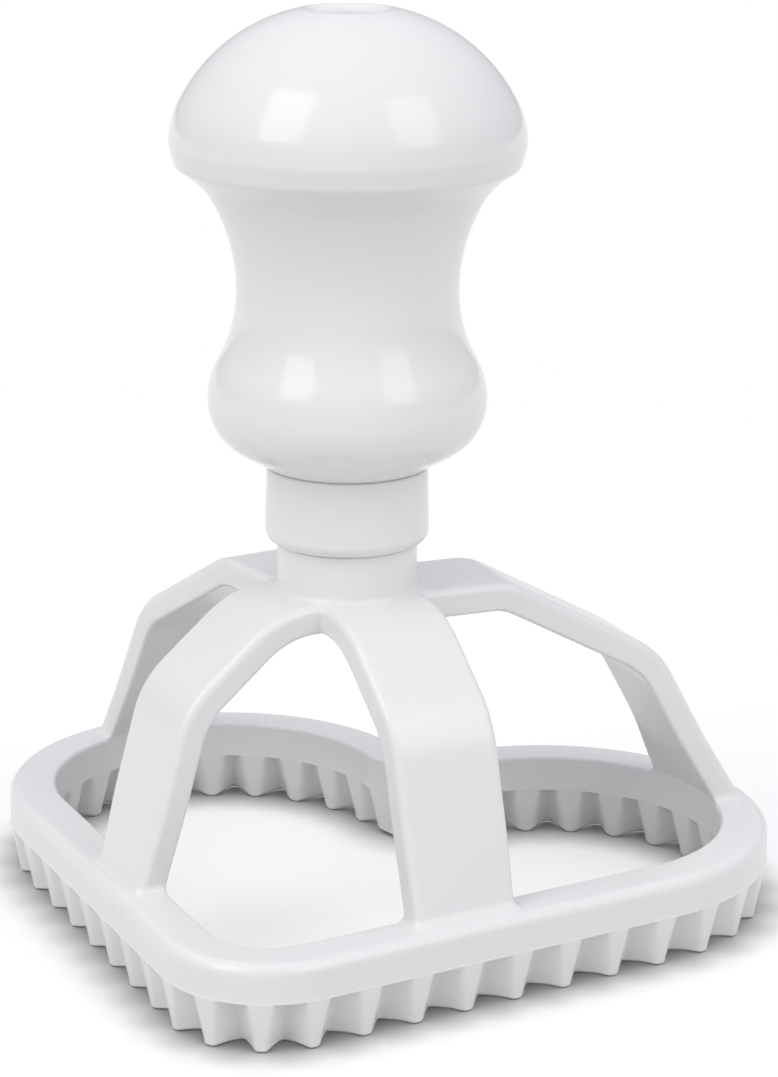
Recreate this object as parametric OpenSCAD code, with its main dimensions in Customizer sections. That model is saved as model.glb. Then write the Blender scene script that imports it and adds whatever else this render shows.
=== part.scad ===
// Heart-shaped ravioli stamp: a turned knob on an open four-armed cutter frame.
// Millimetres, Z up, the cutting edge rests on Z = 0, the heart's tip points to -Y, knob on the Z axis.

/* [Heart ring] */
// width of the heart over both lobes
heart_w = 80; // [72:1:96]
// length of the heart from tip to lobes
heart_l = 69.4; // [64:0.2:80]
// outside radius of a lobe
lobe_r = 21.9; // [20:0.1:24]
// outside radius of the rounded tip
tip_r = 10.7; // [9:0.1:13]
// radius of the rounded notch between the lobes
notch_r = 3; // [2:0.1:4]
// radial width of the ring
ring_w = 4.8; // [4.4:0.1:5.6]
// height of the ring with its cutting wall
ring_h = 8.8; // [8:0.1:12]
// height of the smooth band above the flutes
band_h = 3.8; // [3:0.1:5]
// rounding of the band's outer top edge
band_round = 1.1; // [0.6:0.1:1.6]
// rounding of the band's inner top edge
band_inner_round = 0.4; // [0.2:0.1:0.8]

/* [Fluted wall] */
// flutes on each half of the heart
flutes = 21; // [17:1:23]
// flutes between the tip and the start of a lobe
front_flutes = 8.73; // [7:0.01:9.5]
// how far each wall face leans in from the band to the cutting edge
wall_draft = 0.75; // [0.4:0.05:0.9]
// rounding of the tooth tips at the cutting edge
edge_round = 0.4; // [0.2:0.05:0.5]
// depth of a flute under the band
flute_depth = 2.7; // [2.2:0.05:2.9]
// extra depth of a flute at the cutting edge
flute_sink = 0.6; // [0.3:0.05:0.7]
// radius at the bottom of a flute
flute_root = 0.25; // [0.15:0.05:0.4]
// share of the pitch that an outer flute opens to
outer_open = 0.56; // [0.45:0.01:0.62]
// share of the pitch that an inner flute opens to
inner_open = 0.44; // [0.35:0.01:0.5]

/* [Arms] */
// width of an arm
arm_w = 11; // [9:0.2:12]
// thickness of an arm
arm_t = 2.8; // [2.2:0.1:3.4]
// rounding of an arm's outer edges
arm_round = 0.9; // [0.4:0.1:1.2]
// angle of the front arms from the line to the tip
front_arm_a = 45; // [40:1:50]
// angle of the back arms from the line to the notch
back_arm_a = 50; // [45:1:54]
// height of the flat underside where the arms meet
hub_z = 32.2; // [28:0.2:40]
// where the front arms start to fall
front_fall = 8.9; // [8:0.1:11]
// reach of the front arms' bend
front_bend = 17.5; // [16.5:0.1:18.5]
// height of the front arms' bend
front_bend_z = 25; // [22:0.2:26]
// where the back arms start to fall
back_fall = 14.6; // [12:0.1:17]
// reach of the back arms' bend
back_bend = 30.2; // [28:0.1:32]
// height of the back arms' bend
back_bend_z = 23.8; // [20:0.2:25]
// inner radius of the upper bends
fall_r = 4.5; // [3:0.5:6]
// inner radius of the lower bends
bend_r = 7; // [4:0.5:9]

/* [Neck and joint] */
// radius of the neck
neck_r = 6.85; // [6.2:0.05:7.2]
// height at which the knob's collar sits on the neck
seat_z = 39.7; // [38:0.1:48]
// radius of the spigot inside the collar
spigot_r = 4.4; // [3.5:0.1:5]
// length of the spigot
spigot_l = 14; // [8:0.5:18]
// radial clearance between spigot and socket
fit_gap = 0.1; // [0.05:0.05:0.2]
// gap left above the spigot
end_gap = 0.5; // [0.3:0.1:1]

/* [Knob] */
// height of the collar
collar_h = 7.5; // [5:0.1:10]
// radius of the collar at its foot
collar_r = 8; // [7.6:0.05:8.6]
// radius of the collar under the bulb
collar_top_r = 7.85; // [7.4:0.05:8.4]
// rounding of the collar's lower edge
collar_round = 1.25; // [0.6:0.05:1.4]
// greatest radius of the lower bulb
bulb_r = 13.5; // [12.5:0.1:15]
// height of the bulb's widest line above the seat
bulb_h = 14.1; // [13:0.1:16]
// radius of the waist
waist_r = 10.7; // [9.5:0.1:11.5]
// height of the waist above the seat
waist_h = 24.8; // [23:0.1:28]
// greatest radius of the cap
cap_r = 17; // [15.5:0.1:19]
// height of the cap's widest line above the seat
cap_h = 38.9; // [37:0.1:43]
// radius of the cap's dome
dome_r = 16.8; // [16.2:0.1:18]
// radius of the cap's shoulder
shoulder_r = 8.5; // [7:0.1:10]
// angle over which the shoulder turns into the dome
shoulder_a = 28; // [20:1:34]
// radius of the cap's lower rim
rim_r = 3.8; // [2.6:0.1:4.5]
// radius of the bulb above its widest line
crown_r = 8; // [6.5:0.1:9]
// radius of the bulb below its widest line
belly_r = 5.6; // [5.2:0.1:6]
// radius of the dimple on top
dimple_r = 4; // [2.5:0.1:5]
// depth of the dimple
dimple_d = 0.4; // [0.2:0.1:0.8]

/* [Hidden] */
$fn = 96;
// how far a run of an arm reaches into a bend, and how far the bend stands proud of it
lap = 0.3;
proud = 0.03;

// the heart's outer line: tip arc, straight side, lobe arc, notch arc
lobe_x = heart_w / 2 - lobe_r;
lobe_y = heart_l / 2 - lobe_r;
tip_y = tip_r - heart_l / 2;
span = norm([lobe_x, lobe_y - tip_y]);
side_a = acos((tip_r - lobe_r) / span) - atan2(lobe_y - tip_y, lobe_x);
side_l = sqrt(span * span - pow(lobe_r - tip_r, 2));
notch_y = lobe_y + sqrt(pow(lobe_r + notch_r, 2) - lobe_x * lobe_x);
lobe_end = atan2(notch_y - lobe_y, -lobe_x);
tip_len = tip_r * (90 - side_a) * PI / 180;
lobe_len = lobe_r * (side_a + lobe_end) * PI / 180;
notch_len = notch_r * (lobe_end - 90) * PI / 180;
front_len = tip_len + side_l;
back_len = lobe_len + notch_len;

// point on the outer line at distance s from the tip, and the angle it faces
function turn(s) =
    s < tip_len ? -90 + s / tip_r * 180 / PI
    : s < front_len ? -side_a
    : s < front_len + lobe_len ? -side_a + (s - front_len) / lobe_r * 180 / PI
    : lobe_end - (s - front_len - lobe_len) / notch_r * 180 / PI;
function dir(a) = [cos(a), sin(a)];
function spot(s) =
    s < tip_len ? [0, tip_y] + tip_r * dir(turn(s))
    : s < front_len ? [0, tip_y] + tip_r * dir(-side_a) + (s - tip_len) * dir(90 - side_a)
    : s < front_len + lobe_len ? [lobe_x, lobe_y] + lobe_r * dir(turn(s))
    : [0, notch_y] - notch_r * dir(turn(s));

// distance from the tip of the flute number k, and the local pitch on the inner line
front_pitch = front_len / front_flutes;
back_pitch = back_len / (flutes - front_flutes);
function reach(k) = k < front_flutes ? k * front_pitch : front_len + (k - front_flutes) * back_pitch;
function pitch(k) = k < front_flutes ? front_pitch : back_pitch;
function bend(s) = s < tip_len ? tip_r : s < front_len ? 0 : lobe_r;
function inner_pitch(k) =
    bend(reach(k)) == 0 ? pitch(k) : pitch(k) * (bend(reach(k)) - ring_w) / bend(reach(k));

wall_h = ring_h - band_h;
draft_a = atan2(wall_draft, wall_h);
sink_a = atan2(flute_sink, wall_h);

// heights along the knob
cap_z = seat_z + cap_h;
bulb_z = seat_z + bulb_h;
waist_z = seat_z + waist_h;
collar_z = seat_z + collar_h;

// ring sections: x runs outward from the outer line, y is the height
module band_section() {
    top = ring_h;
    low = ring_h - band_h;
    translate([-ring_w, low]) square([ring_w, band_h - band_round]);
    translate([band_inner_round - ring_w, low])
        square([ring_w - band_inner_round - band_round, band_h]);
    translate([-ring_w, low]) square([ring_w / 2, band_h - band_inner_round]);
    translate([-band_round, top - band_round]) circle(r = band_round);
    translate([band_inner_round - ring_w, top - band_inner_round]) circle(r = band_inner_round);
}

module wall_half() {
    r = edge_round;
    mid = -(r + (wall_h - r) * sin(draft_a)) / cos(draft_a);
    polygon([
        [-ring_w / 2, 0],
        [mid, 0],
        [mid, r],
        [mid + r * cos(draft_a), r - r * sin(draft_a)],
        [0, wall_h],
        [-ring_w / 2, wall_h]
    ]);
    translate([mid, r]) circle(r = r);
}

module wall_section() {
    wall_half();
    translate([-ring_w, 0]) mirror([1, 0]) wall_half();
}

// sweeps a section along the right half of the heart
module half_heart() {
    translate([0, tip_y, 0]) rotate([0, 0, -90])
        rotate_extrude(angle = 90 - side_a) translate([tip_r, 0]) children();
    translate([lobe_x, lobe_y, 0]) rotate([0, 0, -side_a]) {
        translate([lobe_r, 0, 0]) rotate([90, 0, 0]) linear_extrude(height = side_l) children();
        rotate_extrude(angle = side_a + lobe_end) translate([lobe_r, 0]) children();
    }
    translate([0, notch_y, 0]) rotate([0, 0, -90])
        rotate_extrude(angle = lobe_end - 90) translate([notch_r, 0]) mirror([1, 0]) children();
}

// a V with a round bottom, opening along +Y to a half width at a depth from its bottom
module flute_section(half_open, depth) {
    a = atan2(half_open - flute_root, depth - flute_root);
    circle(r = flute_root);
    polygon([
        [-flute_root * cos(a), -flute_root * sin(a)],
        [flute_root * cos(a), -flute_root * sin(a)],
        [flute_root * cos(a) + 5 * sin(a), -flute_root * sin(a) + 5 * cos(a)],
        [-flute_root * cos(a) - 5 * sin(a), -flute_root * sin(a) + 5 * cos(a)]
    ]);
}

// a flute standing in the wall, leaning so that it is deeper at the cutting edge
module flute(half_open) {
    translate([0, flute_root, wall_h]) rotate([-sink_a, 0, 0])
        translate([0, 0, -wall_h - 1.5]) linear_extrude(height = wall_h + 3)
            flute_section(half_open, flute_depth);
}

module at_flute(k) {
    translate([spot(reach(k))[0], spot(reach(k))[1], 0])
        rotate([0, 0, turn(reach(k)) - 90]) children();
}

module half_wall() {
    difference() {
        half_heart() wall_section();
        for (k = [0 : flutes])
            at_flute(k) translate([0, -flute_depth, 0]) flute(outer_open * pitch(k) / 2);
        for (k = [0.5 : flutes - 0.5])
            at_flute(k) translate([0, flute_depth - ring_w, 0]) rotate([0, 0, 180])
                flute(inner_open * inner_pitch(k) / 2);
    }
}

module half_ring() {
    half_heart() band_section();
    half_wall();
}

// arm section grown by g: x from the inner face to the outer face, y across
module arm_section(g = 0) {
    flat = arm_w / 2 - arm_round;
    translate([-g, -arm_w / 2 - g]) square([arm_t - arm_round + g, arm_w + 2 * g]);
    translate([-g, -flat]) square([arm_t + 2 * g, 2 * flat]);
    for (s = [-1, 1]) translate([arm_t - arm_round, s * flat]) circle(r = arm_round + g);
}

// straight run of an arm from p to q in the plane of radius and height
module run(p, q) {
    fall = atan2(p[1] - q[1], q[0] - p[0]);
    translate([p[0], 0, p[1]]) rotate([0, 90 + fall, 0]) translate([0, 0, -lap])
        linear_extrude(height = norm(q - p) + 2 * lap) rotate([0, 0, 180]) arm_section();
}

// bend of an arm about its inner centre, from one fall angle to the next
module turn_down(c, r, fall0, fall1) {
    translate([c[0], 0, c[1]]) rotate([90, 0, 0]) rotate([0, 0, 90 - fall1])
        rotate_extrude(angle = fall1 - fall0) translate([r, 0]) arm_section(proud);
}

module arm(fall_x, bend_x, bend_z, foot_x) {
    a1 = atan2(hub_z - bend_z, bend_x - fall_x);
    a2 = atan2(bend_z - ring_h, foot_x - bend_x);
    t1 = fall_r * tan(a1 / 2);
    t2 = bend_r * tan((a2 - a1) / 2);
    d1 = [cos(a1), -sin(a1)];
    d2 = [cos(a2), -sin(a2)];
    p1 = [fall_x - t1, hub_z];
    p2 = [fall_x, hub_z] + t1 * d1;
    p3 = [bend_x, bend_z] - t2 * d1;
    p4 = [bend_x, bend_z] + t2 * d2;
    c1 = p1 - [0, fall_r];
    c2 = p3 - bend_r * [sin(a1), cos(a1)];
    foot = [foot_x, ring_h] + 2 * d2;
    difference() {
        union() {
            run([0, hub_z], p1);
            turn_down(c1, fall_r, 0, a1);
            run(p2, p3);
            turn_down(c2, bend_r, a1, a2);
            run(p4, foot);
        }
        translate([0, -arm_w, ring_h - 4.6]) cube([80, 2 * arm_w, 4]);
    }
}

// reach of the ring's inner line along an arm's direction, measured at an angle from +X
front_foot = (lobe_x * cos(side_a) - lobe_y * sin(side_a) + lobe_r - ring_w)
    / cos(90 - front_arm_a - side_a);
back_side = lobe_x * cos(back_arm_a) - lobe_y * sin(back_arm_a);
back_foot = lobe_x * sin(back_arm_a) + lobe_y * cos(back_arm_a)
    + sqrt(pow(lobe_r - ring_w, 2) - back_side * back_side) - 0.6;

module cutter() {
    color([0.92, 0.92, 0.93]) {
        half_ring();
        mirror([1, 0, 0]) half_ring();
        for (s = [-1, 1]) {
            rotate([0, 0, -90 + s * front_arm_a])
                arm(front_fall, front_bend, front_bend_z, front_foot);
            rotate([0, 0, 90 + s * back_arm_a])
                arm(back_fall, back_bend, back_bend_z, back_foot);
        }
        translate([0, 0, hub_z]) cylinder(r = neck_r, h = seat_z - hub_z);
        translate([0, 0, hub_z]) cylinder(r = spigot_r, h = seat_z - hub_z + spigot_l);
    }
}

// slice of pie used to round the knob's profile
module pie(c, r, a0, a1) {
    far = 2 * r;
    translate(c) intersection() {
        circle(r = r);
        polygon([[0, 0], far * dir(a0), far * dir((a0 + a1) / 2), far * dir(a1)]);
    }
}

// knob profile: rim and bulb arcs joined by tangent hollows
module knob_profile() {
    dr = cap_r - waist_r;
    x1 = (pow(cap_z - waist_z, 2) + dr * dr) / (2 * dr);
    g1 = asin((cap_z - waist_z) / x1);
    hollow1 = x1 - rim_r;
    rim_c = [cap_r - rim_r, cap_z];
    hollow_c1 = rim_c + x1 * dir(-g1);
    db = bulb_r - waist_r;
    x2 = (pow(waist_z - bulb_z, 2) + db * db) / (2 * db);
    g2 = asin((waist_z - bulb_z) / x2);
    hollow2 = x2 - crown_r;
    crown_c = [bulb_r - crown_r, bulb_z];
    hollow_c2 = crown_c + x2 * dir(g2);
    shoulder_c = [cap_r - shoulder_r, cap_z];
    dome_c = shoulder_c - (dome_r - shoulder_r) * dir(shoulder_a);
    top_a = acos((dimple_r + 0.4 - dome_c[0]) / dome_r);
    belly_c = [bulb_r - belly_r, bulb_z];
    to_collar = [collar_top_r, collar_z] - belly_c;
    belly_a = atan2(to_collar[1], to_collar[0]) + acos(belly_r / norm(to_collar));
    crest = dome_c + dome_r * dir(top_a);
    difference() {
        union() {
            polygon([
                [0, seat_z],
                [collar_r - collar_round, seat_z],
                [collar_r - collar_round, seat_z + collar_round],
                [collar_r, seat_z + collar_round],
                [collar_top_r, collar_z],
                belly_c + belly_r * dir(belly_a),
                belly_c + belly_r * dir(0),
                crown_c + crown_r * dir(g2),
                [waist_r, waist_z],
                rim_c + rim_r * dir(-g1),
                rim_c + rim_r * dir(0),
                shoulder_c + shoulder_r * dir(shoulder_a),
                crest,
                [dimple_r, crest[1]],
                [dimple_r - 0.6, crest[1] - dimple_d],
                [0, crest[1] - dimple_d]
            ]);
            pie([collar_r - collar_round, seat_z + collar_round], collar_round, -90, 0);
            pie(belly_c, belly_r, belly_a, 0);
            pie(crown_c, crown_r, 0, g2);
            pie(rim_c, rim_r, -g1, 0);
            pie(shoulder_c, shoulder_r, 0, shoulder_a);
            pie(dome_c, dome_r, shoulder_a, top_a);
        }
        pie(hollow_c1, hollow1, 180 - g1, 180);
        pie(hollow_c2, hollow2, 180, 180 + g2);
    }
}

module handle() {
    color([0.92, 0.92, 0.93])
        difference() {
            rotate_extrude() knob_profile();
            translate([0, 0, seat_z - 1])
                cylinder(r = spigot_r + fit_gap, h = spigot_l + end_gap + 1);
        }
}

handle();
cutter();
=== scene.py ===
"""Looks of a heart-shaped ravioli stamp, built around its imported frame.

Lengths are millimetres until a mesh is made; floor, lamps and camera are in metres.
"""

import math

import bpy
import numpy as np
from mathutils import Matrix, Quaternion, Vector


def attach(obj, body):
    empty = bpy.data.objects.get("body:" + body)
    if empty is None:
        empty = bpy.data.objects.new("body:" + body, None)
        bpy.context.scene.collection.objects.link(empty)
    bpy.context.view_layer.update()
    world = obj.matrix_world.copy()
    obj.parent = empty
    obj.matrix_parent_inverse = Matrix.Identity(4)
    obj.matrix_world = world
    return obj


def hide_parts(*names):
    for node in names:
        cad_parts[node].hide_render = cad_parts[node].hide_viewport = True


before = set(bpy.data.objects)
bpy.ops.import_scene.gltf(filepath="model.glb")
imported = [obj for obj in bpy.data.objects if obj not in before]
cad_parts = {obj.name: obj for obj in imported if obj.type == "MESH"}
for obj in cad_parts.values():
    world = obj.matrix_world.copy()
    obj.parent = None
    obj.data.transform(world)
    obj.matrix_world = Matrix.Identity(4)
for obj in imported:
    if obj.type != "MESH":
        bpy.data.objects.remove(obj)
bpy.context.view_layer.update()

MM = 0.001

# Heart ring and fluted wall
HEART_W, HEART_L = 80.0, 69.4
LOBE_R, TIP_R, NOTCH_R = 21.9, 10.7, 3.0
RING_W, RING_H, BAND_H = 4.8, 8.8, 3.8
WALL_H = RING_H - BAND_H
BAND_ROUND, BAND_INNER_ROUND = 1.1, 0.4
BAND_INSET = 0.05                                      # the band's face stands this far inside its lip
FLUTES, FRONT_FLUTES = 21, 8.73                        # on one half, and how many of them up to the lobe
WALL_DRAFT = 0.85                                      # each face leans in so much from band to cutting edge
FLUTE_DEPTH = 3.4                                      # at the cutting edge
OUTER_ROOT, INNER_ROOT, INNER_ROOT_FOOT = 0.18, 0.25, 0.7
OUTER_TOP, OUTER_FOOT, TIP_FOOT = 0.60, 0.86, 0.80     # shares of the pitch that a flute opens to
INNER_TOP, INNER_FOOT = 0.40, 0.68
LAND_SOFT, INNER_LAND_SOFT = 0.32, 1.1                 # rounding of the lands, the second at the inner foot
EDGE_THICKNESS = 0.6                                   # least plastic between an outer and an inner flute
EDGE_WAVE = 0.14                                       # rise of the lower edge on a flute's flanks
VALLEY_RISE, INNER_VALLEY_RISE = 0.12, 0.5             # further rise in the outer and the inner flutes
WAVE_LOW, WAVE_SPAN = 0.5, 2.5                         # the rise fades out from this height over this span

# Steps by which points move onto a flute's surface, and the share of the gap that each one closes
SOLVE_STEPS, SOLVE_SHARE = 24, 0.5
ROOT_BLEND = 2.2                                       # width of a flute's round bottom, in its radii
MOST_OUTWARD = 1.5

# Mesh rows of the ring
HALF_FLUTE = [0, .02, .05, .085, .12, .16, .2, .24, .275, .305, .335, .37, .405, .435, .465, .485, .5]
WALL_ROWS = [0.5, 0.9, 1.5, 2.2, 2.9, 3.6, 4.2, 4.55, 4.78]
BAND_FACE_ROWS = [(0.012, 5.17), (0.035, 5.24), (BAND_INSET, 5.34), (BAND_INSET, 6.0), (BAND_INSET, 6.9)]
BAND_TOP_ROWS = [1.9, 2.9, 3.8]
BAND_BACK_ROWS = [7.4, 6.4, 5.5]
BAND_ROUND_ROWS, BAND_INNER_ROUND_ROWS = 9, 6
QUARTER = np.radians([0, 30, 60, 90])
FOOT_TURN = np.radians([90, 66, 44, 22, 0])
FOOT_ROUND, FOOT_SHARE = 0.3, 0.49                     # the wall's bottom edges, and most share of its depth
LEDGE_LEAST = 0.02
LEDGE_ROOT, LEDGE_ROOT_SHARE = 0.22, 0.45              # hollow under the band where the wall starts
LIP, INNER_LIP, LIP_SHARE = 0.09, 0.12, 0.4            # rounded lower edge of the band
ROOT_DROP, MIDDLE_DROP = 0.02, 0.008                   # the outer ledge falls so much towards the wall
INNER_LIP_RISE, INNER_MIDDLE_DROP, INNER_ROOT_DROP = 0.012, 0.002, 0.014
ROOT_CREEP, LIP_CREEP = 0.002, 0.003                   # keeps one row above the last

# Arms, hub and neck
ARM_W, ARM_T, ARM_ROUND, ARM_INNER_ROUND = 11.0, 2.8, 0.8, 0.35
HUB_Z, NECK_R, SEAT_Z = 32.2, 6.85, 39.7
BEND_R = 7.0
FRONT_ARM = dict(azimuth=-45.0, fall=8.9, fall_r=8.0, bend=17.5, bend_z=25.0, foot=22.06)
BACK_ARM = dict(azimuth=40.0, fall=14.6, fall_r=4.5, bend=30.2, bend_z=23.8, foot=38.5)
SKIN = 0.03                                            # blended surfaces lie so far under the ring's surface

# Where an arm meets the ring
SIDE_REACH, SIDE_SAMPLES = 9, 73                       # sideways from the arm's middle
REACH_LOW, REACH_HIGH, HALVINGS = 12.0, 60.0, 40
MATCH_Z = 17.0                                         # below it an arm is drawn to the ring's true line
CLAIM = 0.6                                            # share of the sideways distance that weakens a claim

# Fillets of the cage
ARM_FILLET, NECK_FILLET = 0.35, 0.7
FOOT_FILLET, FOOT_FILLET_GAIN = 0.15, 0.85             # at the ring's outer edge, and its gain inwards
GAIN_START, GAIN_SPAN = 0.3, 1.5                       # insets over which it gains
SINK, SINK_START, SINK_DROP = 0.5, 0.75, 0.9           # away from a foot the skin dives under the ring
FOOT_REACH = 1.6                                       # no fillet goes further than this from its arm
FOOT_LOW, FOOT_HIGH = 7.3, 13
NECK_TOP_GAP, NECK_START = 0.01, 0.6

# Mesh of the cage
CAGE_LOW, CAGE_HIGH = (0, -24.5, 6.9), (37.5, 34.5, 40.6)
CAGE_STEP, QUICK_STEP = 0.28, 0.45
SLAB = 8                                               # grid planes that are worked out at once
PULLS, PULL_MOST, STEEP_LEAST = 4, 0.6, 0.2
PULL_PROBE, NORMAL_PROBE = 0.01, 0.03                  # half lengths that slopes are measured over

# Knob
KNOB = dict(
    collar_h=7.5, collar_r=8.0, collar_top_r=7.85, collar_round=1.25,
    bulb_r=13.5, bulb_h=14.1, belly_r=5.6, crown_r=8.0,
    waist_r=10.7, waist_h=24.8,
    under_r=13.9, under_h=3.95, rim_low_r=16.5, rim_h=2.05,
    cap_r=17.0, cap_h=38.9, rim_top_drop=0.1,
    shoulder_r=8.5, shoulder_a=28.0, dome_r=16.8,
    dimple_r=4.0, dimple_d=0.4)
KNOB_STEPS = 160
SEAT_DISC = 4.0
COLLAR_DRAW, COLLAR_DRAW_H, COLLAR_TOP_H = 0.05, 3.5, 0.3      # the collar's face draws in as it rises
COLLAR_EDGE, COLLAR_EDGE_DROP, COLLAR_EDGE_A = 0.2, 0.22, 80   # its rounded upper edge
GROOVE = np.array([[-0.35, -0.02], [-0.02, 0.1], [0.3, 0.28]]) # from the collar's upper edge to the bulb
UNDER_START, UNDER_BEND, UNDER_SHARE = 5.5, 5.0, 0.5           # where the hollow turns into the short cone
UNDER_ROWS = np.array([[0.65], [0.8]])
RIM_BEFORE, RIM_AFTER = 0.1, 0.16                              # the rim's lower corner
RIM_ROWS = np.array([[0.3], [0.5], [0.7], [0.82]])
RIM_TOP_BEFORE, RIM_TOP_A, SHOULDER_START = 0.1, 1.6, 2.6      # the rim's soft upper corner
DIMPLE_MARGIN, DOME_STOP = 0.4, 0.6
LIP_GAP, LIP_RUN, LIP_DROP = 0.15, 1.1, 0.01                   # from the dome's end down into the dimple
DIMPLE_ROWS = [(2.0, 0.02), (1.0, 0.03), (0.0, 0.03)]          # radius, and depth under the lip's end

# Plastic: scales are in waves to the metre
PLASTIC_LIGHT, PLASTIC_DARK = (0.81, 0.81, 0.81), (0.785, 0.785, 0.79)
KNOB_ROUGH, KNOB_GRAIN = (0.1, 0.16), 0.1
CUTTER_ROUGH, CUTTER_GRAIN = (0.2, 0.28), 0.14
PLASTIC_IOR = 1.46
TONE_SCALE, TONE_LOW, TONE_HIGH = 30.0, 0.2, 0.8
POLISH_SCALE, POLISH_DETAIL = 60.0, 3.0
SPECK_SCALE, SPECK_CORE, SPECK_EDGE = 150.0, 0.02, 0.05
SPECK_RARE, SPECK_CHOSEN, SPECK_SHOW = 0.955, 0.965, 0.22
SPECK_COLOUR = (0.45, 0.44, 0.43, 1)
SKIN_SCALE, WAVE_SCALE, WAVE_FROM, WAVE_TO = 900.0, 120.0, 0.12, 0.88
WAVE_WEIGHT, BUMP_HEIGHT = 4.0, 0.00002

# Floor
FLOOR_SIZE, FLOOR_DROP = 6, 0.00004
FLOOR_COLOUR, FLOOR_GLOW, FLOOR_BOUNCE = 0.5, 0.5, 0.72
# painted contact shade on the floor: how far it looks for the object, its samples, and its darkest share
PAINTED_SHADE_REACH, PAINTED_SHADE_SAMPLES, PAINTED_SHADE_DARKEST = 0.0055, 16, 0.1
FADE_FROM, FADE_TO = 0.06, 0.3

# Lamps and sky
MIDDLE_Z = 0.06
LAMP_COLOUR, LAMP_SIZE, LAMP_DISTANCE = (1.0, 0.99, 0.97), (0.5, 0.82), 1.05
LEFT_POWER, RIGHT_POWER, SKY = 3.5, 2.35, 0.82
SKY_COLOUR, SKY_LOW, SKY_HIGH = (0.93, 0.94, 0.98, 1), 0.6, 1.2
WHITE = (1, 1, 1, 1)

# Camera, where the photograph was taken from
CAMERA_AT = Vector((93.82, -296.86, 126.62)) * MM
AZIMUTH, ELEVATION, ROLL = math.radians(16.785), math.radians(15.596), math.radians(0.370)
PHOTO_HEIGHT, FOCAL_LENGTH = 1077, 3309.3              # in the photograph's pixels
SENSOR, CLIP_START = 36.0, 0.01


def unit(a):
    """Unit vectors at angles a."""
    return np.stack([np.cos(a), np.sin(a)], axis=-1)


# Heart line
LOBE_X, LOBE_Y = HEART_W / 2 - LOBE_R, HEART_L / 2 - LOBE_R
TIP_Y = TIP_R - HEART_L / 2
SPAN = math.hypot(LOBE_X, LOBE_Y - TIP_Y)
SIDE_A = math.acos((TIP_R - LOBE_R) / SPAN) - math.atan2(LOBE_Y - TIP_Y, LOBE_X)
SIDE_L = math.sqrt(SPAN ** 2 - (LOBE_R - TIP_R) ** 2)
SIDE_FACE, SIDE_RUN = unit(np.array(-SIDE_A)), unit(np.array(math.pi / 2 - SIDE_A))
SIDE_START = np.array([0, TIP_Y]) + TIP_R * SIDE_FACE
NOTCH_Y = LOBE_Y + math.sqrt((LOBE_R + NOTCH_R) ** 2 - LOBE_X ** 2)
LOBE_END = math.atan2(NOTCH_Y - LOBE_Y, -LOBE_X)
TIP_LEN = TIP_R * (math.pi / 2 - SIDE_A)
LOBE_LEN = LOBE_R * (SIDE_A + LOBE_END)
NOTCH_LEN = NOTCH_R * (LOBE_END - math.pi / 2)
FRONT_LEN, BACK_LEN = TIP_LEN + SIDE_L, LOBE_LEN + NOTCH_LEN
FRONT_PITCH = FRONT_LEN / FRONT_FLUTES
BACK_PITCH = BACK_LEN / (FLUTES - FRONT_FLUTES)
STRAIGHT = 1e9                                         # the radius of a straight side


def outline(s):
    """Points on the right half of the heart's outer line, s from the tip, and which way they face."""
    s = np.asarray(s, dtype=float)
    in_tip, in_side = s < TIP_LEN, s < FRONT_LEN
    in_lobe = s < FRONT_LEN + LOBE_LEN
    a = np.where(in_tip, -math.pi / 2 + s / TIP_R,
                 np.where(in_side, -SIDE_A,
                          np.where(in_lobe, -SIDE_A + (s - FRONT_LEN) / LOBE_R,
                                   LOBE_END - (s - FRONT_LEN - LOBE_LEN) / NOTCH_R)))
    n = unit(a)
    p = np.where(in_tip[..., None], np.array([0, TIP_Y]) + TIP_R * n,
                 np.where(in_side[..., None], SIDE_START + (s - TIP_LEN)[..., None] * SIDE_RUN,
                          np.where(in_lobe[..., None], np.array([LOBE_X, LOBE_Y]) + LOBE_R * n,
                                   np.array([0, NOTCH_Y]) - NOTCH_R * n)))
    return p, n


def inset(x, y):
    """How far inside the heart's outer line a point lies."""
    x = np.abs(x)
    best = np.full(np.shape(x), 1e3, dtype=np.float32)

    def offer(value, where):
        take = where & (np.abs(value) < np.abs(best))
        best[take] = value[take]

    dy = y - TIP_Y
    a = np.arctan2(dy, x)
    offer(TIP_R - np.hypot(x, dy), a <= -SIDE_A)
    dx, dy = x - SIDE_START[0], y - SIDE_START[1]
    along = dx * SIDE_RUN[0] + dy * SIDE_RUN[1]
    offer(-dx * SIDE_FACE[0] - dy * SIDE_FACE[1], (along >= 0) & (along <= SIDE_L))
    dx, dy = x - LOBE_X, y - LOBE_Y
    a = np.arctan2(dy, dx)
    offer(LOBE_R - np.hypot(dx, dy), (a >= -SIDE_A) & (a <= LOBE_END))
    dy = y - NOTCH_Y
    a = np.arctan2(dy, x)
    offer(np.hypot(x, dy) - NOTCH_R, a <= LOBE_END - math.pi)
    return best


def smin(a, b, k):
    """The smaller of two values, with a soft change from one to the other."""
    h = np.clip(0.5 + 0.5 * (b - a) / k, 0, 1)
    return b + (a - b) * h - k * h * (1 - h)


def smax(a, b, k):
    return -smin(-a, -b, k)


def round_union(a, b, r):
    """Union of two distance fields with a true fillet of radius r."""
    return np.maximum(r, np.minimum(a, b)) - np.hypot(np.maximum(r - a, 0), np.maximum(r - b, 0))


def rounded_corner(px, py, r):
    """Distance to two faces that meet in a corner of radius r, from the distances beyond each."""
    qx, qy = px + r, py + r
    return np.minimum(np.maximum(qx, qy), 0) + np.hypot(np.maximum(qx, 0), np.maximum(qy, 0)) - r


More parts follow.
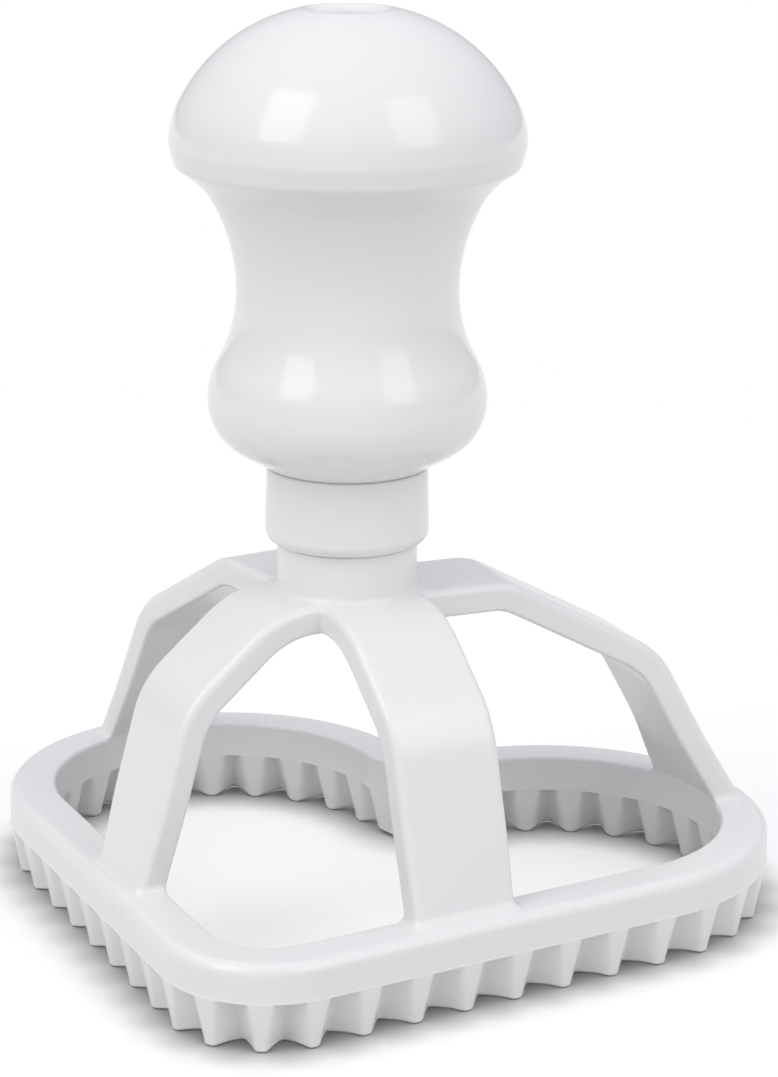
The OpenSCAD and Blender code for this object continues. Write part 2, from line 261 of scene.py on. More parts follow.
# Meshes
def area_normals(verts, faces):
    """Vertex normals weighted by face area, so that flats stay flat beside their roundings."""
    d1 = verts[faces[:, 2]] - verts[faces[:, 0]]
    d2 = verts[faces[:, 3]] - verts[faces[:, 1]]
    face_normals = np.cross(d1, d2)
    n = np.zeros_like(verts)
    for c in range(4):
        np.add.at(n, faces[:, c], face_normals)
    return n / np.maximum(np.linalg.norm(n, axis=1, keepdims=True), 1e-12)


def make_object(name, verts, faces, material, normals):
    mesh = bpy.data.meshes.new(name)
    mesh.from_pydata((verts * MM).tolist(), [], [tuple(int(i) for i in f) for f in faces])
    mesh.validate()
    mesh.update()
    mesh.shade_smooth()
    if len(mesh.vertices) == len(normals):
        mesh.normals_split_custom_set_from_vertices(normals.tolist())
    mesh.materials.append(material)
    obj = bpy.data.objects.new(name, mesh)
    bpy.context.scene.collection.objects.link(obj)
    return obj


# Ring with its fluted wall
def flute_surface(start, into, spot, own, half_top, half_foot, root, down):
    """How far along their own directions points meet a flute.

    A flute is a straight V with a round bottom. It leans: it is deeper and wider at the cutting edge."""
    slope = (FLUTE_DEPTH + root - WALL_DRAFT) / half_foot
    apex = half_top * slope * (1 - down) + (FLUTE_DEPTH + root) * down
    across = np.stack([-own[:, 1], own[:, 0]], axis=1)
    d = np.zeros(len(start))
    for _ in range(SOLVE_STEPS):
        rel = start + d[:, None] * into - spot
        flank = apex - np.abs(np.sum(rel * across, axis=1)) * slope
        d += SOLVE_SHARE * (smin(flank, apex - root, ROOT_BLEND * root) - np.sum(rel * own, axis=1))
        d = np.clip(d, -MOST_OUTWARD, RING_W)
    return d


def ring_columns():
    """Flute numbers of the right half's mesh columns; whole ones are outer flutes, halves are inner ones."""
    half = np.array(HALF_FLUTE)
    phase = np.concatenate([half, (1 - half[1:-1])[::-1]])
    return np.append((np.arange(FLUTES)[:, None] + phase[None, :]).ravel(), FLUTES)


def reach_of(k):
    """Distance from the tip of flute number k along the outer line."""
    return np.where(k < FRONT_FLUTES, k * FRONT_PITCH, FRONT_LEN + (k - FRONT_FLUTES) * BACK_PITCH)


def wall_insets(k, down):
    """Insets of the wall's outer and inner face, down being 0 at the band and 1 at the cutting edge."""
    line, normal = outline(reach_of(k))
    face = np.full(len(k), WALL_DRAFT * down)

    near = np.round(k)
    reach = reach_of(near)
    spot, own = outline(reach)
    pitch = np.where(near < FRONT_FLUTES, FRONT_PITCH, BACK_PITCH)
    foot = np.where(reach < TIP_LEN, TIP_FOOT, OUTER_FOOT)
    outer = flute_surface(line, -normal, spot, -own,
                          OUTER_TOP * pitch / 2, foot * pitch / 2, OUTER_ROOT, down)

    near = np.clip(np.floor(k) + 0.5, 0.5, FLUTES - 0.5)
    reach = reach_of(near)
    spot, own = outline(reach)
    bend = np.where(reach < TIP_LEN, TIP_R, np.where(reach < FRONT_LEN, STRAIGHT, LOBE_R))
    pitch = np.where(near < FRONT_FLUTES, FRONT_PITCH, BACK_PITCH) * (bend - RING_W) / bend
    root = INNER_ROOT * (1 - down) + INNER_ROOT_FOOT * down
    inner = flute_surface(line - RING_W * normal, normal, spot - RING_W * own, own,
                          INNER_TOP * pitch / 2, INNER_FOOT * pitch / 2, root, down)

    soft = LAND_SOFT * (1 - down) + INNER_LAND_SOFT * down
    outer, inner = smax(outer, face, LAND_SOFT), RING_W - smax(inner, face, soft)
    lack = np.maximum(0, EDGE_THICKNESS - (inner - outer)) / 2
    return outer - lack, inner + lack


def ring_rows(k):
    """Insets and heights of the mesh rows, up the outer side, over the band and down the inner side."""
    rows = []
    still = np.zeros(len(k))

    def row(depth, z):
        rows.append((depth + still, z + still))

    phase = k - np.floor(k)
    low = EDGE_WAVE * np.sin(2 * np.pi * phase) ** 2
    low_outer = low + VALLEY_RISE * np.cos(np.pi * phase) ** 2
    low_inner = low + INNER_VALLEY_RISE * np.sin(np.pi * phase) ** 2
    lift = np.maximum(0, 1 - (np.array(WALL_ROWS) - WAVE_LOW) / WAVE_SPAN)
    walls = [wall_insets(k, (WALL_H - z) / WALL_H) for z in WALL_ROWS]
    bottom_outer, bottom_inner = wall_insets(k, 1.0)
    top_outer, top_inner = wall_insets(k, 0.0)
    near_outer, near_inner = walls[0]
    r = np.minimum(FOOT_ROUND, FOOT_SHARE * (bottom_inner - bottom_outer))
    share = r / (bottom_inner - bottom_outer)

    # Outer side
    for a in FOOT_TURN:
        up, over = 1 - math.sin(a), 1 - math.cos(a)
        row(bottom_outer + (near_outer - bottom_outer) * up + r * over,
            low_outer + (low_inner - low_outer) * (share * over) + r * up)
    for z, wall, up in zip(WALL_ROWS, walls, lift):
        row(wall[0], z + low_outer * up)
    ledge = np.maximum(top_outer, LEDGE_LEAST)
    root = np.minimum(LEDGE_ROOT, LEDGE_ROOT_SHARE * ledge)
    lip = np.minimum(LIP, LIP_SHARE * ledge)
    for i, a in enumerate(QUARTER):
        row(ledge - root + root * math.cos(a),
            WALL_H - ROOT_DROP - root + root * math.sin(a) + ROOT_CREEP * i)
    row(0.5 * (ledge - root + lip), WALL_H - MIDDLE_DROP)
    for i, a in enumerate(QUARTER):
        row(lip - lip * math.sin(a), WALL_H + lip - lip * math.cos(a) + LIP_CREEP * i)

    # Band
    for depth, z in BAND_FACE_ROWS:
        row(depth, z)
    for a in np.radians(np.linspace(0, 90, BAND_ROUND_ROWS)):
        row(BAND_ROUND + BAND_INSET - BAND_ROUND * math.cos(a),
            RING_H - BAND_ROUND + BAND_ROUND * math.sin(a))
    for depth in BAND_TOP_ROWS:
        row(depth, RING_H)
    for a in np.radians(np.linspace(90, 0, BAND_INNER_ROUND_ROWS)):
        row(RING_W - BAND_INNER_ROUND + BAND_INNER_ROUND * math.cos(a),
            RING_H - BAND_INNER_ROUND + BAND_INNER_ROUND * math.sin(a))
    for z in BAND_BACK_ROWS:
        row(RING_W, z)

    # Inner side
    ledge = np.maximum(RING_W - top_inner, LEDGE_LEAST)
    root = np.minimum(LEDGE_ROOT, LEDGE_ROOT_SHARE * ledge)
    lip = np.minimum(INNER_LIP, LIP_SHARE * ledge)
    for i, a in enumerate(QUARTER[::-1]):
        row(RING_W - lip + lip * math.sin(a),
            WALL_H + INNER_LIP_RISE + lip - lip * math.cos(a) - LIP_CREEP * i)
    row(RING_W - 0.5 * (ledge - root + lip), WALL_H - INNER_MIDDLE_DROP)
    for i, a in enumerate(QUARTER[::-1]):
        row(RING_W - ledge + root - root * math.cos(a),
            WALL_H - INNER_ROOT_DROP - root + root * math.sin(a) - ROOT_CREEP * i)
    for z, wall, up in list(zip(WALL_ROWS, walls, lift))[::-1]:
        row(wall[1], z + low_inner * up)
    for a in FOOT_TURN[::-1]:
        up, over = 1 - math.sin(a), 1 - math.cos(a)
        row(bottom_inner + (near_inner - bottom_inner) * up - r * over,
            low_inner + (low_outer - low_inner) * (share * over) + r * up)

    d, z = np.array(rows).transpose(1, 0, 2)
    return d, z - z.min() * np.clip(1 - z / WALL_H, 0, 1)      # the lowest tooth touches the floor


def build_ring(material):
    k = ring_columns()
    d, z = ring_rows(k)
    line, normal = outline(reach_of(k))
    right = np.concatenate([line - d[..., None] * normal, z[..., None]], axis=-1)
    right[:, 0, 0] = right[:, -1, 0] = 0.0
    left = right[:, 1:-1][:, ::-1] * np.array([-1, 1, 1])
    grid = np.concatenate([right, left], axis=1)               # closed on itself both ways
    index = np.arange(grid[..., 0].size).reshape(grid.shape[:2])
    beside, above = np.roll(index, -1, axis=1), np.roll(index, -1, axis=0)
    faces = np.stack([index, beside, np.roll(beside, -1, axis=0), above], axis=-1).reshape(-1, 4)
    verts = grid.reshape(-1, 3)
    return make_object("cutter_ring", verts, faces, material, area_normals(verts, faces))


# Cage: arms, hub and neck as one blended field
def arm_frame(arm):
    """The corners and bends of an arm's inner line in the plane of reach and height."""
    a1 = math.atan2(HUB_Z - arm["bend_z"], arm["bend"] - arm["fall"])
    a2 = math.atan2(arm["bend_z"] - RING_H, arm["foot"] - arm["bend"])
    fall_r = arm["fall_r"]
    t1, t2 = fall_r * math.tan(a1 / 2), BEND_R * math.tan((a2 - a1) / 2)
    d1, d2 = np.array([math.cos(a1), -math.sin(a1)]), np.array([math.cos(a2), -math.sin(a2)])
    fall, bend = np.array([arm["fall"], HUB_Z]), np.array([arm["bend"], arm["bend_z"]])
    p1, p2, p3, p4 = fall - [t1, 0], fall + t1 * d1, bend - t2 * d1, bend + t2 * d2
    n1, n2 = np.array([math.sin(a1), math.cos(a1)]), np.array([math.sin(a2), math.cos(a2)])
    return dict(d1=d1, d2=d2, n1=n1, n2=n2, p1=p1, p2=p2, p3=p3, p4=p4,
                c1=p1 - [0, fall_r], c2=p3 - BEND_R * n1, fall_r=fall_r)


def path_height(f, rho, z):
    """Distance outward from an arm's inner line."""
    def along(p, d):
        return (rho - p[0]) * d[0] + (z - p[1]) * d[1]

    value = along(f["p4"], f["n2"])
    arc2 = np.hypot(rho - f["c2"][0], z - f["c2"][1]) - BEND_R
    value = np.where(along(f["p4"], f["d2"]) < 0, arc2, value)
    value = np.where(along(f["p3"], f["d1"]) < 0, along(f["p2"], f["n1"]), value)
    arc1 = np.hypot(rho - f["c1"][0], z - f["c1"][1]) - f["fall_r"]
    value = np.where(along(f["p2"], f["d1"]) < 0, arc1, value)
    return np.where(rho < f["p1"][0], z - HUB_Z, value)


def contour_reach(azimuth, offsets):
    """Reach of the ring's inner line along an arm's direction, at sideways offsets from the arm's middle."""
    u, v = unit(np.array(azimuth)), unit(np.array(azimuth + math.pi / 2))
    lo, hi = np.full(len(offsets), REACH_LOW), np.full(len(offsets), REACH_HIGH)
    for _ in range(HALVINGS):
        mid = 0.5 * (lo + hi)
        inside = inset(mid * u[0] + offsets * v[0], mid * u[1] + offsets * v[1]) > RING_W - SKIN
        lo, hi = np.where(inside, mid, lo), np.where(inside, hi, mid)
    return lo


ARMS = []
for spec in (FRONT_ARM, BACK_ARM):
    for turn in (spec["azimuth"], 180 - spec["azimuth"]):
        toward = math.radians(turn)
        sideways = np.linspace(-SIDE_REACH, SIDE_REACH, SIDE_SAMPLES)
        ARMS.append((toward, arm_frame(spec), sideways, contour_reach(toward, sideways) - spec["foot"]))


def section(height, lateral):
    """Rounded section of an arm: soft outer edges, slightly eased inner edges."""
    c = height - ARM_T / 2
    return rounded_corner(np.abs(c) - ARM_T / 2, lateral, np.where(c > 0, ARM_ROUND, ARM_INNER_ROUND))


def ring_top(depth, z):
    """Distance to the smooth band, for blending the arms' feet into it."""
    cx, cz = depth - RING_W / 2, z - (RING_H - BAND_H / 2)
    r = np.where(cx < 0, BAND_ROUND, BAND_INNER_ROUND)
    return rounded_corner(np.abs(cx) - RING_W / 2, np.abs(cz) - BAND_H / 2, r)


def cage_field(x, y, z):
    """Signed distance to the arms, hub and neck, negative inside the plastic."""
    strips, heights, claims = [], [], []
    for azimuth, f, offsets, shift in ARMS:
        rho = x * math.cos(azimuth) + y * math.sin(azimuth)
        lat = -x * math.sin(azimuth) + y * math.cos(azimuth)
        fade = np.clip((MATCH_Z - z) / (MATCH_Z - RING_H), 0, 1)
        moved = rho - np.interp(lat, offsets, shift) * fade * fade * (3 - 2 * fade)
        strips.append(np.maximum(np.abs(lat) - ARM_W / 2, -rho))
        heights.append(path_height(f, moved, z))
        claims.append(rho - CLAIM * np.abs(lat))
    lateral = strips[0]
    for other in strips[1:]:
        lateral = round_union(lateral, other, ARM_FILLET)
    height = np.choose(np.argmax(np.stack(claims), axis=0), heights)
    arms = section(height, lateral)

    depth = inset(x, y)
    sunk = SKIN + SINK * (np.clip(arms - SINK_START, 0, 1) + np.clip(RING_H - SINK_DROP - z, 0, 1))
    fillet = FOOT_FILLET + FOOT_FILLET_GAIN * np.clip((depth - GAIN_START) / GAIN_SPAN, 0, 1)
    feet = round_union(arms, ring_top(depth, z) + sunk, fillet)
    feet = np.maximum(feet, np.where(z > RING_H, -height, depth - RING_W + SKIN))
    feet = np.maximum(feet, arms - FOOT_REACH)
    feet = np.maximum(feet, FOOT_LOW - z)
    cage = np.where(z < FOOT_HIGH, feet, arms)
    neck = np.maximum(np.hypot(x, y) - NECK_R, z - (SEAT_Z - NECK_TOP_GAP))
    neck = np.maximum(neck, HUB_Z + NECK_START - z)
    return round_union(cage, neck, NECK_FILLET)


def gradient(field, points, probe):
    """Slope of a field at points, measured over twice the probe's length."""
    slope = np.empty_like(points)
    for axis in range(3):
        move = np.zeros(3)
        move[axis] = probe
        slope[:, axis] = (field(*(points + move).T) - field(*(points - move).T)) / (2 * probe)
    return slope


def surface_net(field, low, high, step):
    """Quads on the zero level of a field that is even in x, pulled onto it, with the field's own normals."""
    xs, ys, zs = (a + np.arange(int(math.ceil((b - a) / step)) + 1) * step for a, b in zip(low, high))
    half = np.empty((len(xs), len(ys), len(zs)), dtype=np.float32)
    for i in range(0, len(xs), SLAB):
        axes = [a.astype(np.float32) for a in (xs[i:i + SLAB], ys, zs)]
        half[i:i + SLAB] = field(*np.meshgrid(*axes, indexing="ij"))
    grid = np.concatenate([half[:0:-1], half], axis=0)
    sign = grid < 0

    # A cell is active where its eight corners don't agree.
    cells = tuple(n - 1 for n in grid.shape)
    any_in, all_in = np.zeros(cells, dtype=bool), np.ones(cells, dtype=bool)
    for shift in np.ndindex(2, 2, 2):
        part = sign[tuple(slice(a, a + n) for a, n in zip(shift, cells))]
        any_in |= part
        all_in &= part
    active = any_in & ~all_in
    where = np.argwhere(active)
    ids = -np.ones(cells, dtype=np.int64)
    ids[active] = np.arange(len(where))

    # A cell's vertex is the mean of the points where its edges cross the surface.
    total, count = np.zeros((len(where), 3)), np.zeros(len(where))
    for axis in range(3):
        others = [a for a in range(3) if a != axis]
        for da, db in np.ndindex(2, 2):
            base = where.copy()
            base[:, others[0]] += da
            base[:, others[1]] += db
            end = base.copy()
            end[:, axis] += 1
            v0, v1 = grid[tuple(base.T)], grid[tuple(end.T)]
            cross = (v0 < 0) != (v1 < 0)
            point = base.astype(float)
            point[:, axis] += np.where(cross, v0 / np.where(cross, v0 - v1, 1), 0)
            total[cross] += point[cross]
            count += cross
    verts = np.array([-xs[-1], ys[0], zs[0]]) + total / count[:, None] * step

    # Four cells round each crossing edge make a quad.
    quads = []
    for axis in range(3):
        a, b = (axis + 1) % 3, (axis + 2) % 3
        first, second = [slice(None)] * 3, [slice(None)] * 3
        first[axis], second[axis] = slice(0, -1), slice(1, None)
        edges = np.argwhere(sign[tuple(first)] != sign[tuple(second)])
        keep = (edges[:, a] > 0) & (edges[:, b] > 0) & (edges[:, a] < cells[a]) & (edges[:, b] < cells[b])
        edges = edges[keep]
        around = []
        for da, db in ((-1, -1), (0, -1), (0, 0), (-1, 0)):
            cell = edges.copy()
            cell[:, a] += da
            cell[:, b] += db
            around.append(ids[tuple(cell.T)])
        around = np.stack(around, axis=1)
        outward = ~sign[tuple(edges.T)]
        around[outward] = around[outward][:, ::-1]
        quads.append(around)
    quads = np.concatenate(quads)
    quads = quads[(quads >= 0).all(axis=1)]

    home = verts
    for _ in range(PULLS):
        g = gradient(field, verts, PULL_PROBE)
        verts = verts - (field(*verts.T) / np.maximum((g * g).sum(axis=1), STEEP_LEAST))[:, None] * g
        verts = np.clip(verts, home - PULL_MOST * step, home + PULL_MOST * step)
    g = gradient(field, verts, NORMAL_PROBE)
    return verts, quads, g / np.maximum(np.linalg.norm(g, axis=1, keepdims=True), 1e-9)


def build_cage(material):
    step = CAGE_STEP
    verts, quads, normals = surface_net(cage_field, CAGE_LOW, CAGE_HIGH, step)
    return make_object("cutter_cage", verts, quads, material, normals)


# Knob
def arc(c, r, a0, a1, n):
    """Points on a circle round c from angle a0 to a1, in degrees."""
    a = np.radians(np.linspace(a0, a1, n))
    return np.stack([c[0] + r * np.cos(a), c[1] + r * np.sin(a)], axis=1)


def corner(before, at, after, n):
    """A short curve of n points that rounds the corner of a profile."""
    t = np.linspace(0, 1, n)[:, None]
    return (1 - t) ** 2 * before + 2 * t * (1 - t) * at + t * t * after


def knob_profile():
    """The turned profile from the seat to the top, as (radius, height) points."""
    k = KNOB
    cap_z, bulb_z, waist_z = SEAT_Z + k["cap_h"], SEAT_Z + k["bulb_h"], SEAT_Z + k["waist_h"]
    collar_z = SEAT_Z + k["collar_h"]
    collar_edge = np.array([k["collar_top_r"], collar_z])
    rim_top = np.array([k["cap_r"], cap_z - k["rim_top_drop"]])
    rim_low = np.array([k["rim_low_r"], cap_z - k["rim_h"]])
    under = np.array([k["under_r"], cap_z - k["under_h"]])

    # The hollow waist is two arcs that meet upright: one up to the cap, one down to the bulb's crown.
    dr = under[0] - k["waist_r"]
    upper_r = ((under[1] - waist_z) ** 2 + dr * dr) / (2 * dr)
    upper_a = math.degrees(math.asin((under[1] - waist_z) / upper_r))
    upper_c = np.array([k["waist_r"] + upper_r, waist_z])
    dr = k["bulb_r"] - k["waist_r"]
    reach = ((waist_z - bulb_z) ** 2 + dr * dr) / (2 * dr)
    crown_a = math.degrees(math.asin((waist_z - bulb_z) / reach))
    crown_c = np.array([k["bulb_r"] - k["crown_r"], bulb_z])
    lower_c = crown_c + reach * unit(np.radians(crown_a))

    # The bulb's belly touches the collar, and the dome touches the shoulder.
    belly_c = np.array([k["bulb_r"] - k["belly_r"], bulb_z])
    to_collar = collar_edge - belly_c
    belly_a = (math.degrees(math.atan2(to_collar[1], to_collar[0]))
               + math.degrees(math.acos(k["belly_r"] / np.linalg.norm(to_collar))))
    shoulder_c = np.array([k["cap_r"] - k["shoulder_r"], cap_z])
    dome_c = shoulder_c - (k["dome_r"] - k["shoulder_r"]) * unit(np.radians(k["shoulder_a"]))
    top_a = math.degrees(math.acos((k["dimple_r"] + DIMPLE_MARGIN - dome_c[0]) / k["dome_r"]))
    crest = dome_c + k["dome_r"] * unit(np.radians(top_a))
    cr = k["collar_round"]

    hollow_end = arc(upper_c, upper_r, 180 - upper_a + UNDER_BEND, 180, n=2)[0]
    shoulder_low = arc(shoulder_c, k["shoulder_r"], RIM_TOP_A, SHOULDER_START, n=2)[0]
    floor_z = crest[1] - k["dimple_d"]
    t = np.linspace(0, 1, 12)
    ease = t * t * (3 - 2 * t)
    return np.concatenate([
        np.array([[0.0, SEAT_Z], [SEAT_DISC, SEAT_Z]]),
        arc((k["collar_r"] - cr, SEAT_Z + cr), cr, -90, 0, n=12),
        np.array([[k["collar_r"] - COLLAR_DRAW, SEAT_Z + COLLAR_DRAW_H],
                  [k["collar_top_r"], collar_z - COLLAR_TOP_H]]),
        arc(collar_edge - [COLLAR_EDGE, COLLAR_EDGE_DROP], COLLAR_EDGE, 0, COLLAR_EDGE_A, n=5),
        collar_edge + GROOVE,
        arc(belly_c, k["belly_r"], belly_a, 0, n=26),
        arc(crown_c, k["crown_r"], 0, crown_a, n=14)[1:],
        arc(lower_c, reach - k["crown_r"], 180 + crown_a, 180, n=22)[1:],
        arc(upper_c, upper_r, 180, 180 - upper_a + UNDER_START, n=22)[1:],
        corner(hollow_end, under, under + UNDER_SHARE * (rim_low - under), n=9),
        under + UNDER_ROWS * (rim_low - under),
        corner(rim_low + RIM_BEFORE * (under - rim_low), rim_low,
               rim_low + RIM_AFTER * (rim_top - rim_low), n=6),
        rim_low + RIM_ROWS * (rim_top - rim_low),
        corner(rim_top + RIM_TOP_BEFORE * (rim_low - rim_top), rim_top, shoulder_low, n=5),
        arc(shoulder_c, k["shoulder_r"], SHOULDER_START, k["shoulder_a"], n=14),
        arc(dome_c, k["dome_r"], k["shoulder_a"], top_a - DOME_STOP, n=40)[1:],
        np.stack([crest[0] - LIP_GAP - LIP_RUN * t,
                  crest[1] - LIP_DROP - (k["dimple_d"] - LIP_DROP) * ease], axis=1),
        np.array([[r, floor_z - sag] for r, sag in DIMPLE_ROWS])])


def build_knob(material):
    profile = knob_profile()
    ring = profile[1:-1]
    a = np.linspace(0, 2 * math.pi, KNOB_STEPS, endpoint=False)
    grid = np.stack([ring[:, None, 0] * np.cos(a), ring[:, None, 0] * np.sin(a),
                     np.repeat(ring[:, None, 1], KNOB_STEPS, axis=1)], axis=-1)
    index = np.arange(len(ring) * KNOB_STEPS).reshape(len(ring), KNOB_STEPS)
    beside = np.roll(index, -1, axis=1)
    quads = np.stack([index[:-1], beside[:-1], beside[1:], index[1:]], axis=-1).reshape(-1, 4)
    verts = np.concatenate([grid.reshape(-1, 3), [[0, 0, profile[0, 1]], [0, 0, profile[-1, 1]]]])
    normals = area_normals(verts, quads)
    normals[-2], normals[-1] = (0, 0, -1), (0, 0, 1)
    foot, crown = len(verts) - 2, len(verts) - 1
    faces = [tuple(q) for q in quads]
    faces += [(beside[0, i], index[0, i], foot) for i in range(KNOB_STEPS)]
    faces += [(index[-1, i], beside[-1, i], crown) for i in range(KNOB_STEPS)]
    return make_object("knob", verts, faces, material, normals)


# Materials
def node(tree, kind, inputs=None, **props):
    """A shader node. An input is a value, or the output that is linked to it."""
    n = tree.nodes.new(kind)
    for key, value in props.items():
        setattr(n, key, value)
    for key, value in (inputs or {}).items():
        if isinstance(value, bpy.types.NodeSocket):
            tree.links.new(value, n.inputs[key])
        else:
            n.inputs[key].default_value = value
    return n


def calculate(tree, operation, *terms, clamp=False):
    """The result of a math node on its terms."""
    n = node(tree, "ShaderNodeMath", dict(enumerate(terms)), operation=operation, use_clamp=clamp)
    return n.outputs[0]


def remap(tree, source, from_low, from_high, to_low, to_high, kind="SMOOTHSTEP"):
    """A value carried from one range to another and held within it."""
    n = node(tree, "ShaderNodeMapRange", {"Value": source, "From Min": from_low, "From Max": from_high,
                                          "To Min": to_low, "To Max": to_high}, interpolation_type=kind)
    return n.outputs["Result"]


def new_material(name):
    mat = bpy.data.materials.new(name)
    mat.use_nodes = True
    mat.node_tree.nodes.clear()
    return mat, mat.node_tree


def plastic(name, rough, grain):
    """Gloss white moulded plastic: faint tone drift, uneven polish, fine skin and a few tiny specks."""
    mat, t = new_material(name)
    place = node(t, "ShaderNodeTexCoord").outputs["Object"]

    def noise(scale, detail):
        n = node(t, "ShaderNodeTexNoise", {"Vector": place, "Scale": scale, "Detail": detail})
        return n.outputs["Fac"]

    drift = remap(t, noise(TONE_SCALE, 1.0), TONE_LOW, TONE_HIGH, 0.0, 1.0)
    tone = node(t, "ShaderNodeMix", {"Factor": drift, "A": (*PLASTIC_LIGHT, 1), "B": (*PLASTIC_DARK, 1)},
                data_type="RGBA")
    specks = node(t, "ShaderNodeTexVoronoi", {"Vector": place, "Scale": SPECK_SCALE})
    near = remap(t, specks.outputs["Distance"], SPECK_CORE, SPECK_EDGE, 1.0, 0.0)
    lot = node(t, "ShaderNodeSeparateColor", {"Color": specks.outputs["Color"]})
    chosen = remap(t, lot.outputs[0], SPECK_RARE, SPECK_CHOSEN, 0.0, SPECK_SHOW)
    colour = node(t, "ShaderNodeMix", {"Factor": calculate(t, "MULTIPLY", near, chosen),
                                       "A": tone.outputs["Result"], "B": SPECK_COLOUR}, data_type="RGBA")

    polish = calculate(t, "MULTIPLY_ADD", noise(POLISH_SCALE, POLISH_DETAIL), rough[1] - rough[0], rough[0])
    wave = remap(t, noise(WAVE_SCALE, 0.0), WAVE_FROM, WAVE_TO, 0.0, 1.0)
    relief = calculate(t, "MULTIPLY_ADD", wave, WAVE_WEIGHT, noise(SKIN_SCALE, 1.0))
    bump = node(t, "ShaderNodeBump", {"Strength": grain, "Distance": BUMP_HEIGHT, "Height": relief})
    bsdf = node(t, "ShaderNodeBsdfPrincipled", {"Base Color": colour.outputs["Result"], "Roughness": polish,
                                                "IOR": PLASTIC_IOR, "Normal": bump.outputs["Normal"]})
    node(t, "ShaderNodeOutputMaterial", {"Surface": bsdf.outputs[0]})
    return mat


def floor_material():
    """Floor with the object's shadow. What the camera and reflections see of it carries a painted contact
    shade, darker close to the object, and glows up to white where it is lit; other light meets a plain pale
    floor."""
    mat, t = new_material("floor")
    seen = node(t, "ShaderNodeLightPath").outputs
    direct = calculate(t, "ADD", seen["Is Camera Ray"], seen["Is Glossy Ray"], clamp=True)
    direct = calculate(t, "ADD", direct, seen["Is Transmission Ray"], clamp=True)
    # painted shade: the floor's colour and glow darken where the object is near, for the camera and
    # reflections only
    shade_occlusion = node(t, "ShaderNodeAmbientOcclusion", {"Distance": PAINTED_SHADE_REACH}, samples=PAINTED_SHADE_SAMPLES)
    painted_contact_shade = remap(t, shade_occlusion.outputs["AO"], PAINTED_SHADE_DARKEST, 1.0, PAINTED_SHADE_DARKEST, 1.0, "LINEAR")
    change = calculate(t, "MULTIPLY_ADD", painted_contact_shade, FLOOR_COLOUR, -FLOOR_BOUNCE)
    albedo = calculate(t, "MULTIPLY_ADD", change, direct, FLOOR_BOUNCE)
    diffuse = node(t, "ShaderNodeBsdfDiffuse", {"Color": albedo})
    strength = calculate(t, "MULTIPLY", calculate(t, "MULTIPLY", painted_contact_shade, direct), FLOOR_GLOW)
    glow = node(t, "ShaderNodeEmission", {"Color": WHITE, "Strength": strength})
    lit = node(t, "ShaderNodeAddShader", {0: diffuse.outputs[0], 1: glow.outputs[0]})

    # Away from the object the floor fades into the white backdrop.
    place = node(t, "ShaderNodeNewGeometry").outputs["Position"]
    distance = node(t, "ShaderNodeVectorMath", {0: place}, operation="LENGTH").outputs["Value"]
    away = calculate(t, "MULTIPLY", remap(t, distance, FADE_FROM, FADE_TO, 0.0, 1.0), direct)
    white = node(t, "ShaderNodeEmission", {"Color": WHITE, "Strength": 1.0})
    pick = node(t, "ShaderNodeMixShader", {0: away, 1: lit.outputs[0], 2: white.outputs[0]})
    node(t, "ShaderNodeOutputMaterial", {"Surface": pick.outputs[0]})
    return mat


knob_material = plastic("knob_plastic", KNOB_ROUGH, KNOB_GRAIN)
cutter_material = plastic("cutter_plastic", CUTTER_ROUGH, CUTTER_GRAIN)

ring = build_ring(cutter_material)
cage = build_cage(cutter_material)
knob = build_knob(knob_material)
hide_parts("cutter")
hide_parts("cutter")
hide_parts("handle")
for obj, slot in ((ring, "cutter_plastic"), (cage, "cutter_plastic"), (knob, "knob_plastic")):
    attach(obj, "root")

bpy.ops.mesh.primitive_plane_add(size=FLOOR_SIZE, location=(0, 0, -FLOOR_DROP))
floor = bpy.context.object
floor.name = "floor"
floor.data.materials.append(floor_material())


# Light and camera
def window(name, azimuth, elevation, power, roll):
    """A lamp that looks at the object's middle, at an angle round from -Y and a height above the floor."""
    a, e = math.radians(azimuth), math.radians(elevation)
    at = Vector((LAMP_DISTANCE * math.sin(a) * math.cos(e), -LAMP_DISTANCE * math.cos(a) * math.cos(e),
                 MIDDLE_Z + LAMP_DISTANCE * math.sin(e)))
    aim = (Vector((0, 0, MIDDLE_Z)) - at).to_track_quat("-Z", "Y")
    data = bpy.data.lights.new(name, "AREA")
    data.shape = "RECTANGLE"
    data.size, data.size_y = LAMP_SIZE
    data.energy = power
    data.color = LAMP_COLOUR
    obj = bpy.data.objects.new(name, data)
    obj.location = at
    obj.rotation_euler = (aim @ Quaternion((0, 0, 1), math.radians(roll))).to_euler()
    bpy.context.scene.collection.objects.link(obj)


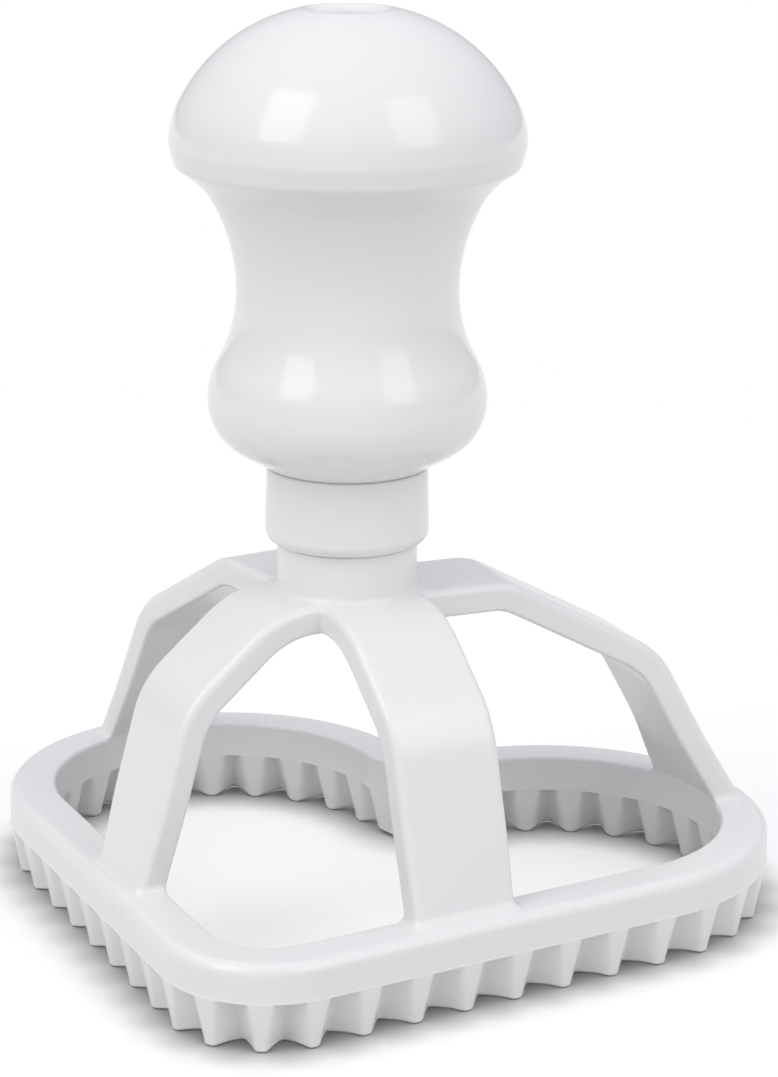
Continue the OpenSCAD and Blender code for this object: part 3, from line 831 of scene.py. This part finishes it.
window("window_left", azimuth=-34, elevation=42, power=LEFT_POWER, roll=14)
window("window_right", azimuth=69, elevation=38, power=RIGHT_POWER, roll=-14)

# The sky lights the object and shows in its gloss, brighter towards the top; the camera sees plain white.
world = bpy.data.worlds.new("studio")
bpy.context.scene.world = world
world.use_nodes = True
sky_tree = world.node_tree
sky_tree.nodes.clear()
sky_place = node(sky_tree, "ShaderNodeTexCoord").outputs["Generated"]
sky_height = node(sky_tree, "ShaderNodeSeparateXYZ", {0: sky_place}).outputs["Z"]
sky_strength = remap(sky_tree, sky_height, 0.0, 1.0, SKY_LOW * SKY, SKY_HIGH * SKY, "LINEAR")
sky = node(sky_tree, "ShaderNodeBackground", {"Color": SKY_COLOUR, "Strength": sky_strength})
backdrop = node(sky_tree, "ShaderNodeBackground", {"Color": WHITE, "Strength": 1.0})
path = node(sky_tree, "ShaderNodeLightPath").outputs
direct = calculate(sky_tree, "ADD", path["Is Camera Ray"], path["Is Transmission Ray"], clamp=True)
sky_pick = node(sky_tree, "ShaderNodeMixShader", {0: direct, 1: sky.outputs[0], 2: backdrop.outputs[0]})
node(sky_tree, "ShaderNodeOutputWorld", {"Surface": sky_pick.outputs[0]})

back = Vector((math.sin(AZIMUTH) * math.cos(ELEVATION), -math.cos(AZIMUTH) * math.cos(ELEVATION),
               math.sin(ELEVATION)))
right = Vector((math.cos(AZIMUTH), math.sin(AZIMUTH), 0))
up = back.cross(right)
rolled_right = right * math.cos(ROLL) + up * math.sin(ROLL)
rolled_up = up * math.cos(ROLL) - right * math.sin(ROLL)
camera_data = bpy.data.cameras.new("camera")
camera_data.sensor_fit = "AUTO"
camera_data.sensor_width = SENSOR
camera_data.lens = FOCAL_LENGTH * SENSOR / PHOTO_HEIGHT
camera_data.clip_start = CLIP_START
camera = bpy.data.objects.new("camera", camera_data)
turned = Matrix((rolled_right, rolled_up, back)).transposed().to_4x4()
camera.matrix_world = Matrix.Translation(CAMERA_AT) @ turned
bpy.context.scene.collection.objects.link(camera)
bpy.context.scene.camera = camera
bpy.context.scene.view_settings.view_transform = "Standard"
